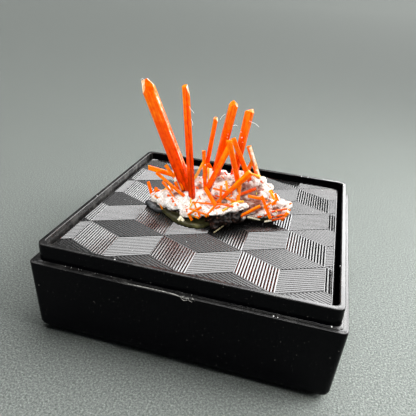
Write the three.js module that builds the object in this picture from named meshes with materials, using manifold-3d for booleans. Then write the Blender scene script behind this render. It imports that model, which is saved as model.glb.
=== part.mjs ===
// Crocoite on matrix, fixed with putty in the base of a small display box.
// Millimetres, +Z up. The origin is the middle of the box's underside, and the front faces -Y.
import * as THREE from 'three';
import { ConvexGeometry } from 'three/addons/geometries/ConvexGeometry.js';
import { mergeVertices } from 'three/addons/utils/BufferGeometryUtils.js';
import Module from 'manifold-3d';

const wasm = await Module();
wasm.setup();

// ---------- driving dimensions ----------
const LEDGE_HALF = 29.1; // half of the box's widest side, at the ledge
const FOOT_HALF = 28.1; // half of the side at the underside: the body has this much draft
const LEDGE_Z = 16.05;
const LIP_HALF = 27.9;
const RIM_Z = 19.6;
const WALL_INNER_HALF = 26.95;
const FLOOR = 1.6;
const LEDGE_CORNER = 0.9;
const LIP_CORNER = 0.8;
const INNER_CORNER = 0.8;
const FOOT_ROUND = 0.7;

const DECK_Z = 18; // top of the insert, 1.6 under the rim
const DECK_HALF = 26.45;
const DECK_SHIFT_X = -0.2; // the insert lies against the left wall
const DECK_EDGE = 0.3;

const FIT = 0.3; // clearance round every rooted or bedded piece
const PUTTY_THICK = 0.9;
const PUTTY_EDGE = 0.5;
const PUTTY_STEPS = 44;
const FINE_BALL = 2; // facets along a ball's edge, less one
const COARSE_BALL = 4;
const ROOT_DEPTH = 1.7; // how far a crystal goes on below the matrix's surface
const NEEDLE_ROOT = 0.9;
const KNOB_HEIGHT = 0.11; // of a rock lump's radius
const CUTTER = 80; // side of the blocks that cut a solid off level

// ---------- solids ----------
function toSolid(geometry) {
  const bare = geometry.clone();
  bare.deleteAttribute('normal');
  bare.deleteAttribute('uv');
  const merged = mergeVertices(bare.index ? bare.toNonIndexed() : bare, 1e-4);
  return new wasm.Manifold(new wasm.Mesh({
    numProp: 3,
    vertProperties: new Float32Array(merged.attributes.position.array),
    triVerts: new Uint32Array(merged.index.array),
  }));
}

function toGeometry(solid) {
  const data = solid.getMesh();
  const geometry = new THREE.BufferGeometry();
  geometry.setAttribute('position', new THREE.BufferAttribute(data.vertProperties, 3));
  geometry.setIndex(new THREE.BufferAttribute(data.triVerts, 1));
  return geometry;
}

function union(solids) {
  return solids.reduce((sum, solid) => sum.add(solid));
}

function largestPiece(solid) {
  const pieces = solid.decompose();
  return pieces.reduce((best, piece) => (piece.volume() > best.volume() ? piece : best));
}

function piece(name, solid, material) {
  const mesh = new THREE.Mesh(toGeometry(solid), material);
  mesh.name = name;
  return mesh;
}

// ---------- the box and its insert ----------
function roundedSquare(half, corner) {
  const shape = new THREE.Shape();
  shape.absarc(half - corner, half - corner, corner, 0, Math.PI / 2);
  shape.absarc(corner - half, half - corner, corner, Math.PI / 2, Math.PI);
  shape.absarc(corner - half, corner - half, corner, Math.PI, 1.5 * Math.PI);
  shape.absarc(half - corner, corner - half, corner, 1.5 * Math.PI, 2 * Math.PI);
  return shape;
}

// A square block from z = low to z = high, whose lower or upper edge can be rounded over.
function squareBlock({ half, corner, low, high, round = 0, roundTop = false }) {
  const tall = high - low;
  const options = { depth: tall, bevelEnabled: false, curveSegments: 4 };
  if (round > 0) {
    Object.assign(options, { bevelEnabled: true, bevelSize: round, bevelThickness: round });
    Object.assign(options, { bevelSegments: 3, bevelOffset: -round });
  }
  const geometry = new THREE.ExtrudeGeometry(roundedSquare(half, corner), options);
  geometry.translate(0, 0, low + (roundTop ? -round : round));
  if (round === 0) return toSolid(geometry);
  const keep = new THREE.BoxGeometry(CUTTER, CUTTER, tall);
  keep.translate(0, 0, low + tall / 2);
  return toSolid(geometry).intersect(toSolid(keep));
}

function drafted(solid) {
  return solid.warp((vertex) => {
    const shrink = 1 - (1 - FOOT_HALF / LEDGE_HALF) * (1 - Math.min(vertex[2] / LEDGE_Z, 1));
    vertex[0] *= shrink;
    vertex[1] *= shrink;
  });
}

function boxBase() {
  const body = drafted(squareBlock({
    half: LEDGE_HALF, corner: LEDGE_CORNER, low: 0, high: LEDGE_Z, round: FOOT_ROUND,
  }));
  const lip = squareBlock({ half: LIP_HALF, corner: LIP_CORNER, low: FLOOR, high: RIM_Z });
  const hollow = squareBlock({
    half: WALL_INNER_HALF, corner: INNER_CORNER, low: FLOOR, high: RIM_Z + 1,
  });
  return body.add(lip).subtract(hollow);
}

function deckInsert() {
  return squareBlock({
    half: DECK_HALF, corner: INNER_CORNER, low: FLOOR, high: DECK_Z, round: DECK_EDGE, roundTop: true,
  }).translate([DECK_SHIFT_X, 0, 0]);
}

// ---------- putty ----------
// The pad's outline on the deck, squeezed out past the rock at the front left.
const PUTTY_OUTLINE = [
  [-15.6, 0.2], [-14.6, -2.2], [-12.4, -3.8], [-10.6, -5.6], [-9, -6.9], [-7.2, -8], [-5, -8.8],
  [-3.2, -8.9], [-1.6, -8.3], [-0.4, -6.2], [3.5, -1.6], [8.5, -0.2], [12.6, 1.2], [13.4, 3.2],
  [10, 5.4], [4, 6.4], [-3, 5.8], [-9, 4.2], [-13.4, 2.8],
];

function puttyPad(grow) {
  const centre = new THREE.Vector3(-1, -0.5, 0);
  const spread = PUTTY_OUTLINE.map(([x, y]) => {
    const out = new THREE.Vector3(x, y, 0).sub(centre);
    return out.setLength(out.length() + grow).add(centre);
  });
  const outline = new THREE.CatmullRomCurve3(spread, true).getSpacedPoints(PUTTY_STEPS).slice(1);
  const shape = new THREE.Shape(outline.map((p) => new THREE.Vector2(p.x, p.y)));
  const geometry = new THREE.ExtrudeGeometry(shape, {
    depth: PUTTY_THICK + grow, bevelEnabled: true, bevelSegments: 2,
    bevelSize: PUTTY_EDGE, bevelThickness: PUTTY_EDGE, bevelOffset: -PUTTY_EDGE,
  });
  geometry.translate(0, 0, DECK_Z - PUTTY_EDGE);
  const above = new THREE.BoxGeometry(CUTTER, CUTTER, CUTTER);
  above.translate(0, 0, DECK_Z + CUTTER / 2);
  return toSolid(geometry).intersect(toSolid(above));
}

// ---------- crystals ----------
// One prism with bevelled edges, whose root goes on below its foot, into the rock. Across it, local x
// points to the left and y to the front. Each end facet is [direction, slope, drop below the tip].
const CHISEL = [[1.4, 0.5, 0.05], [-1.7, 0.45, 0.05]];

function prism({ tip, foot, width, thick, roll = 0.4, bevel = 0.2, ends = CHISEL, narrow = 1,
  root = ROOT_DEPTH, grow = 0 }) {
  const top = new THREE.Vector3(...tip);
  const axis = top.clone().sub(new THREE.Vector3(...foot)).normalize();
  const bottom = new THREE.Vector3(...foot).addScaledVector(axis, -root - grow);
  const side = new THREE.Vector3(0, -1, 0).cross(axis).normalize();
  const turn = new THREE.Matrix4().makeBasis(side, axis.clone().cross(side), axis);
  turn.setPosition(bottom);
  const length = top.distanceTo(bottom) + grow;
  const halfWidth = width / 2 + grow;
  const halfThick = thick / 2 + grow;
  const cut = bevel * Math.min(width, thick);
  const points = [];
  for (const [sx, sy] of [[1, 1], [-1, 1], [-1, -1], [1, -1]]) {
    for (const [inX, inY] of [[0, cut], [cut, 0]]) {
      const corner = new THREE.Vector3(sx * (halfWidth - inX), sy * (halfThick - inY), 0);
      corner.applyAxisAngle(new THREE.Vector3(0, 0, 1), roll);
      points.push(new THREE.Vector3(corner.x * narrow, corner.y * narrow, 0));
      points.push(corner.setZ(length));
    }
  }
  let solid = toSolid(new ConvexGeometry(points));
  for (const [direction, slope, drop] of ends) {
    const up = Math.cos(slope);
    const flat = Math.sin(slope);
    const normal = [-flat * Math.cos(direction), -flat * Math.sin(direction), -up];
    solid = solid.trimByPlane(normal, -up * (length - drop * width));
  }
  return solid.transform(turn.elements);
}

// Each named group of prisms grows as one solid; most are a single crystal.
const CRYSTALS = {
  crystal_left_broad: [
    { tip: [-18.7, 1.5, 45.6], foot: [-7.8, 0.7, 21.6], width: 2.7, thick: 2.35, roll: 0.5,
      ends: [[0.1, 1.1, 0.03], [-2.7, 0.52, 0.03], [1.7, 0.4, 0.1]] },
    { tip: [-13.2, 0.6, 27.4], foot: [-7.8, -0.1, 21.6], width: 0.75, thick: 0.6 },
    { tip: [-17.9, 1.9, 25.5], foot: [-11.4, 1.9, 24.7], width: 1.1, thick: 0.95, roll: 0.5,
      root: 2.4 },
  ],
  crystal_left_upright: [
    { tip: [-8.8, -1.0, 45.9], foot: [-5.6, -2.7, 21.8], width: 1.4, thick: 1.2, roll: -0.45,
      ends: [[1.2, 0.3, 0.1], [-2.9, 0.95, 0.25]] },
  ],
  crystal_left_pointing: [
    { tip: [-14.9, -0.8, 25.8], foot: [-8.4, -2.4, 22.6], width: 0.68, thick: 0.6, root: 1.2 },
  ],
  crystal_left_small: [
    { tip: [-13.8, 0.4, 23.3], foot: [-10.6, -0.6, 20.9], width: 0.55, thick: 0.5, root: 1.3 },
    { tip: [-12.2, 0.9, 22.6], foot: [-10.1, -0.5, 20.7], width: 0.4, thick: 0.35, root: 1.3 },
  ],
  crystal_middle_slender: [
    { tip: [-3.3, 4.5, 38.6], foot: [-5.0, 4.5, 24.2], width: 0.95, thick: 0.85, roll: 0.3,
      ends: [[1.2, 0.6, 0.1], [-2.9, 0.6, 0.1]] },
  ],
  crystal_middle_broad: [
    { tip: [0.7, 3.2, 43.1], foot: [-2.3, 3.8, 25.3], width: 1.8, thick: 1.6, roll: 0.35,
      ends: [[-2.7, 0.55, 0.12], [0.6, 0.7, 0.12], [1.6, 0.4, 0.1]] },
    { tip: [-4.0, 3.0, 28.5], foot: [-2.3, 3.4, 26.0], width: 0.65, thick: 0.5, root: 0.4 },
  ],
  crystal_middle_front: [
    { tip: [1.1, 0.6, 34.0], foot: [-3.1, -0.6, 23.1], width: 1.15, thick: 0.95, roll: -0.3 },
    { tip: [-4.7, 1.2, 32.0], foot: [-3.3, -0.4, 23.2], width: 0.8, thick: 0.7, roll: 0.3 },
  ],
  crystal_right_broad: [
    { tip: [4.0, 4.3, 41.8], foot: [1.8, 4.3, 25.4], width: 1.8, thick: 1.4, roll: -0.3,
      narrow: 0.8, ends: [[2.6, 0.45, 0.2], [-0.6, 0.75, 0.25], [1.2, 0.4, 0.2]] },
  ],
  crystal_right_crossing: [
    { tip: [1.3, 1.9, 35.5], foot: [5.1, 2.2, 27.9], width: 1.0, thick: 0.9, roll: 0.5 },
  ],
  crystal_right_front: [
    { tip: [1.2, -1.8, 36.1], foot: [3.5, 0.9, 26.3], width: 1.15, thick: 1.0 },
  ],
  crystal_right_bright: [
    { tip: [4.3, 5.6, 33.1], foot: [6.6, 6.2, 27.2], width: 1.15, thick: 0.7, roll: 0.6,
      root: 2.2 },
    { tip: [5.6, 5.75, 30.2], foot: [4.8, 5.1, 27.3], width: 0.75, thick: 0.6 },
  ],
  crystal_front_diagonal: [
    { tip: [6.3, 0.6, 29.1], foot: [0.7, -3.0, 22.9], width: 1.5, thick: 1.1, roll: 0.5,
      narrow: 0.35 },
  ],
};

function crystal(group, grow) {
  return union(group.map((shape) => prism({ ...shape, grow })));
}

// ---------- matrix ----------
// Rounded lumps of the rock and its crust: centre, then radii.
const LUMPS = [
  // the dark host rock that the crust sits on
  [[-4.5, -0.8, 20.2], [9.6, 5.4, 2.3]],
  [[5.4, 2.0, 20.6], [7.4, 4.8, 2.9]],
  [[1.4, -5.2, 20.0], [4.2, 3.0, 1.9]],
  [[4.4, -3.2, 20.0], [2.6, 2.2, 1.8]],
  // the left wing, low and thin at its tip
  [[-15.4, -0.3, 19.6], [1.2, 1.0, 0.7]],
  [[-13.7, -0.5, 19.7], [2.2, 2.1, 1.3]],
  [[-11.4, -1.6, 19.6], [2.5, 2.3, 1.5]],
  [[-11.2, 1.6, 20.0], [2.9, 2.7, 1.7]],
  [[-8.4, -3.2, 19.7], [2.8, 2.1, 1.7]],
  [[-7.3, -1.4, 20.4], [3.0, 2.8, 2.0]],
  [[-8.8, 2.6, 21.0], [2.8, 2.7, 1.8]],
  // the front, under a pale lip
  [[-5.2, -4.8, 19.9], [2.6, 2.3, 1.7]],
  [[-2.6, -5.0, 20.7], [2.8, 2.4, 1.6]],
  [[0.6, -5.6, 21.0], [3.0, 2.3, 1.2]],
  [[2.8, -4.2, 21.4], [2.8, 2.3, 1.2]],
  [[5.2, -2.4, 21.6], [2.0, 1.8, 1.5]],
  // the middle
  [[-5.8, 3.6, 22.0], [3.2, 2.8, 2.3]],
  [[-3.2, -0.6, 21.4], [3.4, 3.3, 2.1]],
  [[-1.2, 1.4, 22.8], [3.3, 3.2, 2.1]],
  [[2.2, 0.8, 22.6], [3.2, 3.0, 2.3]],
  [[-1.2, 5.2, 23.6], [3.2, 2.8, 2.6]],
  // the right and its back lobes
  [[3.3, 4.8, 24.2], [3.0, 2.8, 2.6]],
  [[6.2, 4.8, 24.2], [2.8, 2.7, 2.6]],
  [[7.6, 5.6, 24.7], [1.8, 1.7, 1.5]],
  [[9.1, 5.2, 23.8], [1.8, 1.7, 1.5]],
  [[8.9, 3.2, 23.0], [2.2, 2.0, 1.7]],
  [[6.9, 0.8, 21.9], [3.0, 2.5, 1.7]],
  [[11.2, 3.0, 22.0], [2.0, 1.9, 1.5]],
  [[13.6, 3.8, 21.2], [2.1, 1.7, 1.3]],
  [[11.7, 1.5, 20.4], [1.6, 1.5, 1.8]],
  [[8.6, -0.2, 20.4], [2.8, 1.7, 1.4]],
];

// Small needles and chips that stand in the crust: tip, foot, thickness.
const NEEDLES = [
  [[-17.3, 0.6, 22.6], [-16.1, 0.0, 19.7], 0.7],
  [[-15.4, 0.8, 21.4], [-15.6, 0.1, 19.7], 0.6],
  [[-5.4, 4.6, 28.0], [-6.8, 3.0, 24.3], 0.6],
  [[-3.3, -1.0, 24.4], [-0.3, -4.0, 22.3], 0.95],
  [[0.4, -1.4, 25.7], [1.2, -4.0, 22.6], 0.55],
  [[-5.1, -3.6, 21.9], [-1.0, -4.2, 22.0], 0.5],
  [[0.6, -5.4, 22.7], [-0.6, -6.4, 21.2], 0.6],
  [[-5.2, -5.4, 21.3], [-1.9, -6.2, 20.9], 0.5],
  [[-4.9, -4.2, 22.2], [-2.8, -6.0, 20.9], 0.5],
  [[4.0, 1.4, 25.7], [4.1, 0.4, 22.6], 0.9],
  [[7.8, 2.0, 24.9], [3.6, 0.2, 23.0], 0.6],
  [[6.2, 0.4, 24.0], [9.0, 0.8, 22.8], 0.75],
  [[9.0, 0.6, 24.0], [10.8, -0.3, 20.9], 0.8],
  [[9.3, -1.0, 22.6], [6.2, -2.8, 20.9], 0.75],
  [[2.0, -2.0, 24.0], [4.4, -2.8, 23.0], 0.7],
  [[7.8, 5.0, 26.8], [5.9, 4.2, 26.4], 0.75],
  [[9.4, 4.6, 25.0], [11.1, 3.4, 22.9], 0.6],
];

// A lump is a ball with low, smooth knobs whose place depends on where it lies.
function lump([cx, cy, cz], [rx, ry, rz]) {
  const detail = rx > 4 ? COARSE_BALL : FINE_BALL;
  const ball = new THREE.IcosahedronGeometry(1, detail);
  ball.deleteAttribute('normal');
  ball.deleteAttribute('uv');
  const geometry = mergeVertices(ball, 1e-4);
  const at = geometry.attributes.position;
  for (let i = 0; i < at.count; i += 1) {
    const v = new THREE.Vector3().fromBufferAttribute(at, i);
    const wave = Math.sin(4.1 * v.x + 1.7 * cx + 2.3 * v.z) * Math.sin(3.7 * v.y + 2.9 * cy)
      + 0.6 * Math.sin(5.3 * v.z + 3.1 * cz + 4.7 * v.x) * Math.sin(6.1 * v.x - 1.3 * cy);
    v.multiplyScalar(1 + KNOB_HEIGHT * wave);
    at.setXYZ(i, cx + rx * v.x, cy + ry * v.y, cz + rz * v.z);
  }
  return toSolid(geometry);
}

function needle([tip, foot, thick]) {
  return prism({ tip, foot, width: thick, thick: 0.85 * thick, root: NEEDLE_ROOT });
}

function matrixRock() {
  const grown = union([...LUMPS.map((shape) => lump(...shape)), ...NEEDLES.map(needle)]);
  const clear = new THREE.BoxGeometry(CUTTER, CUTTER, CUTTER);
  clear.translate(0, 0, DECK_Z + FIT - CUTTER / 2);
  const sockets = Object.values(CRYSTALS).map((group) => crystal(group, FIT));
  return largestPiece(grown.subtract(union([toSolid(clear), puttyPad(FIT), ...sockets])));
}

// ---------- the scene ----------
const blackPlastic = new THREE.MeshStandardMaterial({ color: 0x0b0b0c, roughness: 0.25 });
const ribbedPlastic = new THREE.MeshStandardMaterial({ color: 0x151515, roughness: 0.4 });
const putty = new THREE.MeshStandardMaterial({ color: 0x5a5530, roughness: 0.7 });
const rock = new THREE.MeshStandardMaterial({ color: 0xe9dfd8, roughness: 0.9 });
const crocoite = new THREE.MeshStandardMaterial({ color: 0xff5a00, roughness: 0.15 });

const part = new THREE.Group();
part.add(piece('box_base', boxBase(), blackPlastic));
part.add(piece('deck_insert', deckInsert(), ribbedPlastic));
part.add(piece('mounting_putty', puttyPad(0), putty));
part.add(piece('matrix', matrixRock(), rock));
for (const [name, group] of Object.entries(CRYSTALS)) {
  part.add(piece(name, crystal(group, 0), crocoite));
}

export default part;
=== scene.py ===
"""Crocoite on matrix, bedded in putty on the ribbed insert of a small black display-box base.

Everything is in the CAD's frame: +Z up, the front faces -Y, and the origin is the middle of the
box's underside. Sizes in this script are in millimetres, and each piece is turned to metres as it is
finished.
"""
import math
import random

import bmesh
import bpy
from mathutils import Matrix, Quaternion, Vector, noise


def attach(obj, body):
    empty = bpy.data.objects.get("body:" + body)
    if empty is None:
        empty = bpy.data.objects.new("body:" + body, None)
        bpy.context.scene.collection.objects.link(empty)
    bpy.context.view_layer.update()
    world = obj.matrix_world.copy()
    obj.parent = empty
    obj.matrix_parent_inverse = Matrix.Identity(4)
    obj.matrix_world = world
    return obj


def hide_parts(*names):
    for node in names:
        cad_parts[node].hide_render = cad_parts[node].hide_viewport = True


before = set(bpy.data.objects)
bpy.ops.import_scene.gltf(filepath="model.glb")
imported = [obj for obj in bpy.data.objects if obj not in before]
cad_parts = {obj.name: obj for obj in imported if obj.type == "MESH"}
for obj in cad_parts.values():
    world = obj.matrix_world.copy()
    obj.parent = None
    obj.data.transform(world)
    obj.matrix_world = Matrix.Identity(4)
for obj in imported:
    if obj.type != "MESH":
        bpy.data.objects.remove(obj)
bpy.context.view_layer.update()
scene = bpy.context.scene

# ---------- sizes that several pieces share, in millimetres ----------
MM = 0.001  # a millimetre in metres
LEDGE_HALF = 29.1  # half of the box's widest side, at the ledge
LEDGE_Z = 16.05
LIP_HALF = 27.9  # half of the side of the lip, which a lid would seat on
RIM_Z = 19.6
WALL_INNER_HALF = 26.95
FOOT_HALF = 28.6  # half of the side at the foot, above the rounding of the lower edge
FOOT_ROUND = 2.0  # height of that rounding
BOX_FLOOR_Z = 1.6
DECK_Z = 18.0  # the insert's top
DECK_HALF = 26.45
DECK_SHIFT_X = -0.2  # the insert stands a little to the left
SOFT_BELOW_SHELL = math.radians(44)  # edges flatter than this are shaded soft
SOFT_BELOW_INSERT = math.radians(40)
SOFT_BELOW_LUMPY = math.radians(80)


# ---------- helpers ----------
def linear(hex_colour):
    """An sRGB hex colour as linear RGBA, which is what shader sockets take."""
    channels = [int(hex_colour[i:i + 2], 16) / 255 for i in (1, 3, 5)]
    return (*(c / 12.92 if c <= 0.04045 else ((c + 0.055) / 1.055) ** 2.4 for c in channels), 1.0)


def add_node(tree, kind, values=None, links=None, stops=None, feeds=None, output=None, **settings):
    """Adds a node with its settings, its sockets' own values, its colour stops and what feeds it.
    Returns the output that is named, or else the first one in use, and links it to feeds."""
    node = tree.nodes.new(kind)
    for name, value in settings.items():
        setattr(node, name, value)
    for socket, value in (values or {}).items():
        node.inputs[socket].default_value = value
    for socket, source in (links or {}).items():
        tree.links.new(source, node.inputs[socket])
    for number, (position, colour) in enumerate(stops or []):
        elements = node.color_ramp.elements
        stop = elements[number] if number < len(elements) else elements.new(position)
        stop.position, stop.color = position, linear(colour)
    result = node.outputs[output] if output else next(out for out in node.outputs if out.enabled)
    if feeds:
        tree.links.new(result, feeds)
    return result


def material(name, surface_values):
    """A new material with one Principled surface; returns it, its tree, that shader's sockets and
    Object coordinates."""
    made = bpy.data.materials.new(name)
    made.use_nodes = True
    tree = made.node_tree
    sockets = tree.nodes["Principled BSDF"].inputs
    for socket, value in surface_values.items():
        sockets[socket].default_value = value
    place = add_node(tree, "ShaderNodeTexCoord", output="Object")
    return made, tree, sockets, place


def grain_of(size_mm, detail=3.0, roughness=0.55):
    """The values of a noise whose grain is about size_mm across."""
    return {"Scale": 1000 / size_mm, "Detail": detail, "Roughness": roughness}


def piece(name, bm, finish, replaces=(), soft_below=0.0, moulded=False):
    """Makes a finished piece of a bmesh in millimetres. Edges flatter than soft_below are shaded soft,
    and a moulded piece keeps its large faces flat beside its small roundings."""
    bmesh.ops.scale(bm, vec=Vector((MM,) * 3), verts=bm.verts)
    for face in bm.faces:
        face.smooth = soft_below > 0
    for edge in bm.edges:
        edge.smooth = len(edge.link_faces) == 2 and edge.calc_face_angle() < soft_below
    mesh = bpy.data.meshes.new(name)
    bm.to_mesh(mesh)
    bm.free()
    for each in finish if isinstance(finish, list) else [finish]:
        mesh.materials.append(each)
    made = bpy.data.objects.new(name, mesh)
    scene.collection.objects.link(made)
    if moulded:
        made.modifiers.new("even faces", "WEIGHTED_NORMAL").keep_sharp = True
    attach(made, "root")
    if replaces:
        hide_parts(*replaces)


def remeshed(bm, voxel_mm):
    """One closed skin round everything in a bmesh, with even faces about voxel_mm across."""
    mesh = bpy.data.meshes.new("skin")
    bm.to_mesh(mesh)
    bm.free()
    holder = bpy.data.objects.new("skin", mesh)
    scene.collection.objects.link(holder)
    skin = holder.modifiers.new("skin", "REMESH")
    skin.mode = "VOXEL"
    skin.voxel_size = voxel_mm
    skinned = bmesh.new()
    skinned.from_object(holder, bpy.context.evaluated_depsgraph_get())
    bpy.data.objects.remove(holder)
    bpy.data.meshes.remove(mesh)
    return skinned


def joined(parts):
    """Several bmeshes as one; the parts are freed."""
    whole = bmesh.new()
    for part in parts:
        mesh = bpy.data.meshes.new("part")
        part.to_mesh(mesh)
        part.free()
        whole.from_mesh(mesh)
        bpy.data.meshes.remove(mesh)
    return whole


def smoothstep(low, high, value):
    """Goes softly from 0, where value is at low, to 1, where it is at high."""
    t = min(1.0, max(0.0, (value - low) / (high - low)))
    return t * t * (3 - 2 * t)


# ---------- materials ----------
MIX = "ShaderNodeMix"
NOISE = "ShaderNodeTexNoise"
RAMP = "ShaderNodeValToRGB"
RANGE = "ShaderNodeMapRange"
BUMP = "ShaderNodeBump"
ATTRIBUTE = "ShaderNodeAttribute"
SHARE, FIRST, SECOND = 0, 6, 7  # a colour Mix node's sockets


def polystyrene_black(name, roughness, gloss):
    """Black polystyrene, moulded: a deep, even black with a clear gloss, fine rubbing and dust, greyed
    as far as the mesh's wear_and_painted_light says, which is partly real rubbing and partly painted
    highlight and painted reflection."""
    made, tree, sockets, place = material(name, {"IOR": 1.59, "Specular IOR Level": gloss})
    dust = add_node(tree, NOISE, grain_of(0.35, 2.0), {"Vector": place})
    black = add_node(tree, RAMP, links={"Fac": dust},
                     stops=[(0.0, "#000001"), (0.71, "#020203"), (0.8, "#55534F")])
    # grey where the mesh says: real rubbing, and painted highlight and painted reflection
    wear_and_painted_light = add_node(tree, ATTRIBUTE, attribute_name="wear_and_painted_light")
    patches = add_node(tree, NOISE, grain_of(2.6, 5.0, 0.7), {"Vector": place})
    grey = add_node(tree, RAMP, links={"Fac": patches},
                    stops=[(0.3, "#1B1B1B"), (0.5, "#4C4B49"), (0.7, "#8B8985")])
    add_node(tree, MIX, links={SHARE: wear_and_painted_light, FIRST: black, SECOND: grey}, data_type="RGBA",
             feeds=sockets["Base Color"])
    rubbed = add_node(tree, NOISE, grain_of(9.0, 5.0, 0.65), {"Vector": place})
    add_node(tree, RANGE, {"To Min": roughness * 0.75, "To Max": roughness * 1.6}, {"Value": rubbed},
             feeds=sockets["Roughness"])
    ripple = add_node(tree, NOISE, grain_of(1.4, 2.0, 0.4), {"Vector": place})
    add_node(tree, BUMP, {"Distance": 0.012 * MM}, {"Height": ripple}, feeds=sockets["Normal"])
    return made


def ribbed_plastic():
    """Black polystyrene, moulded in fine ribs: each mirrors the light on one flank and the dark on the
    other, and dust greys it."""
    made, tree, sockets, place = material("polystyrene_black_ribbed", {
        "IOR": 1.62, "Specular IOR Level": 0.75})
    speckle = add_node(tree, NOISE, grain_of(0.3, 3.0, 0.7), {"Vector": place})
    add_node(tree, RAMP, links={"Fac": speckle}, feeds=sockets["Base Color"],
             stops=[(0.0, "#040404"), (0.58, "#0B0B0B"), (0.76, "#565552")])
    haze = add_node(tree, NOISE, grain_of(0.45, 4.0, 0.7), {"Vector": place})
    add_node(tree, RANGE, {"To Min": 0.1, "To Max": 0.36}, {"Value": haze}, feeds=sockets["Roughness"])
    pits = add_node(tree, NOISE, grain_of(0.22, 2.0, 0.5), {"Vector": place})
    add_node(tree, BUMP, {"Distance": 0.014 * MM}, {"Height": pits}, feeds=sockets["Normal"])
    return made


def mounting_putty(name, dark, body, light, roughness):
    """Mounting putty, pressed by hand: soft dents, a faint oily sheen, and darker and lighter patches."""
    made, tree, sockets, place = material(name, {"IOR": 1.47, "Roughness": roughness})
    patches = add_node(tree, NOISE, grain_of(2.2, 4.0), {"Vector": place})
    add_node(tree, RAMP, links={"Fac": patches}, stops=[(0.3, dark), (0.5, body), (0.72, light)],
             feeds=sockets["Base Color"])
    dents = add_node(tree, NOISE, grain_of(0.7), {"Vector": place})
    add_node(tree, BUMP, {"Distance": 0.06 * MM}, {"Height": dents}, feeds=sockets["Normal"])
    return made


def crusted_rock():
    """Gossan with a crust of white clay: chalky white, pinkish and darker in the creases, partly stain and
    partly painted shade, purple-brown in the hollows, brown veins and rust specks, and nearly black on
    the broken host rock, partly painted shade where it faces down, in front below the lip and at the
    deck. The mesh gives the shares of crease_stain_and_shade, hollow and host_and_shade."""
    made, tree, sockets, place = material("clay_crusted_gossan", {
        "IOR": 1.5, "Roughness": 0.7, "Specular IOR Level": 0.35})
    hollow, crease_stain_and_shade, host_and_shade = (add_node(tree, ATTRIBUTE, attribute_name=name)
                            for name in ("hollow", "crease_stain_and_shade", "host_and_shade"))
    grain = add_node(tree, NOISE, grain_of(0.55, 4.0, 0.65), {"Vector": place})
    stain = add_node(tree, NOISE, grain_of(1.6, 4.0, 0.65), {"Vector": place})
    spots = add_node(tree, NOISE, grain_of(0.75, 2.0, 0.5), {"Vector": place})
    white = add_node(tree, RAMP, links={"Fac": grain},
                     stops=[(0.3, "#8C8680"), (0.42, "#CFCAC3"), (0.7, "#F5F3EF")])
    # pink, darkest in the deepest creases: stain, and painted shade there
    pink = add_node(tree, RAMP, links={"Fac": stain},
                    stops=[(0.34, "#7E5444"), (0.47, "#B89484"), (0.6, "#E2D6CA")])
    veins = add_node(tree, RAMP, links={"Fac": stain},
                     stops=[(0.465, "#000000"), (0.5, "#B0B0B0"), (0.535, "#000000")])
    purple = add_node(tree, RAMP, links={"Fac": stain},
                      stops=[(0.32, "#4A2418"), (0.47, "#7A4636"), (0.64, "#B28878")])
    # near black: the host rock's dark brown, deepened by painted shade
    dark = add_node(tree, RAMP, links={"Fac": grain},
                    stops=[(0.38, "#040303"), (0.54, "#140D0A"), (0.64, "#38221B"), (0.74, "#84604F")])
    speck = add_node(tree, RAMP, links={"Fac": spots}, stops=[(0.66, "#000000"), (0.7, "#FFFFFF")])
    rust = add_node(tree, RAMP, links={"Fac": grain}, stops=[(0.35, "#8A2E0A"), (0.65, "#F07A1C")])
    mix = {"kind": MIX, "data_type": "RGBA"}
    colour = add_node(tree, links={SHARE: crease_stain_and_shade, FIRST: white, SECOND: pink}, **mix)
    colour = add_node(tree, values={SECOND: linear("#96705C")}, links={SHARE: veins, FIRST: colour}, **mix)
    colour = add_node(tree, links={SHARE: speck, FIRST: colour, SECOND: rust}, **mix)
    colour = add_node(tree, links={SHARE: hollow, FIRST: colour, SECOND: purple}, **mix)
    add_node(tree, links={SHARE: host_and_shade, FIRST: colour, SECOND: dark}, feeds=sockets["Base Color"], **mix)
    crumb = add_node(tree, NOISE, grain_of(0.4, 3.0, 0.6), {"Vector": place})
    add_node(tree, BUMP, {"Distance": 0.05 * MM}, {"Height": crumb}, feeds=sockets["Normal"])
    return made


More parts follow.
